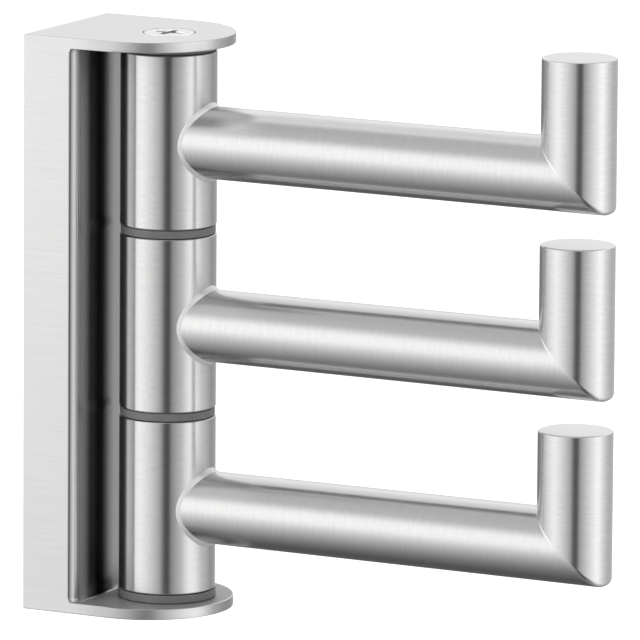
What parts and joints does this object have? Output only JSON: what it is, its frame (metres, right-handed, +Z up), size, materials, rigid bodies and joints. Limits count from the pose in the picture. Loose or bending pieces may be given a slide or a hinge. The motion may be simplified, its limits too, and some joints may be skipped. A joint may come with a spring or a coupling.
{
  "type": "swivel towel hook",
  "caption": "Wall bracket in brushed steel with stacked hooks that swivel on one upright axle; each is a round bar with an upturned peg.",
  "frame": {"origin": "middle of the back face that lies on the wall, at half the bracket's height and width", "axes": "+Y into the wall, so the hooks point along -Y; +Z up along the axle; +X to the right seen from the room"},
  "size_m": [0.028, 0.1008, 0.0977],
  "materials": {
    "bracket_steel": "fine brushed stainless steel",
    "hook_steel": "stainless steel turned and brushed round the bar",
    "screw_steel": "bright stainless steel",
    "plain_steel": "plain milled steel",
    "washer_plastic": "dark grey moulded plastic",
    "sleeve_plastic": "off-white bearing plastic"
  },
  "bodies": {
    "wall_bracket": {"bracket": "bracket_steel", "wall_plate": "plain_steel", "grub_screw": "plain_steel", "axle": "plain_steel", "axle_screw_top": "screw_steel", "axle_screw_bottom": "screw_steel", "washer_bottom": "washer_plastic", "washer_above_lower": "washer_plastic", "washer_above_middle": "washer_plastic", "washer_top": "washer_plastic"},
    "lower_hook": {"lower_hub": "hook_steel", "lower_sleeve": "sleeve_plastic", "lower_arm": "hook_steel", "lower_peg": "hook_steel"},
    "middle_hook": {"middle_hub": "hook_steel", "middle_sleeve": "sleeve_plastic", "middle_arm": "hook_steel", "middle_peg": "hook_steel"},
    "upper_hook": {"upper_hub": "hook_steel", "upper_sleeve": "sleeve_plastic", "upper_arm": "hook_steel", "upper_peg": "hook_steel"}
  },
  "joints": [
    {"name": "lower_swivel", "type": "hinge", "parent": "wall_bracket", "child": "lower_hook", "pos_m": [0, -0.0195, -0.03027], "axis": [0, 0, 1], "range_deg": [-100, 100]},
    {"name": "middle_swivel", "type": "hinge", "parent": "wall_bracket", "child": "middle_hook", "pos_m": [0, -0.0195, 0.00022], "axis": [0, 0, 1], "range_deg": [-100, 100]},
    {"name": "upper_swivel", "type": "hinge", "parent": "wall_bracket", "child": "upper_hook", "pos_m": [0, -0.0195, 0.03072], "axis": [0, 0, 1], "range_deg": [-100, 100]}
  ]
}
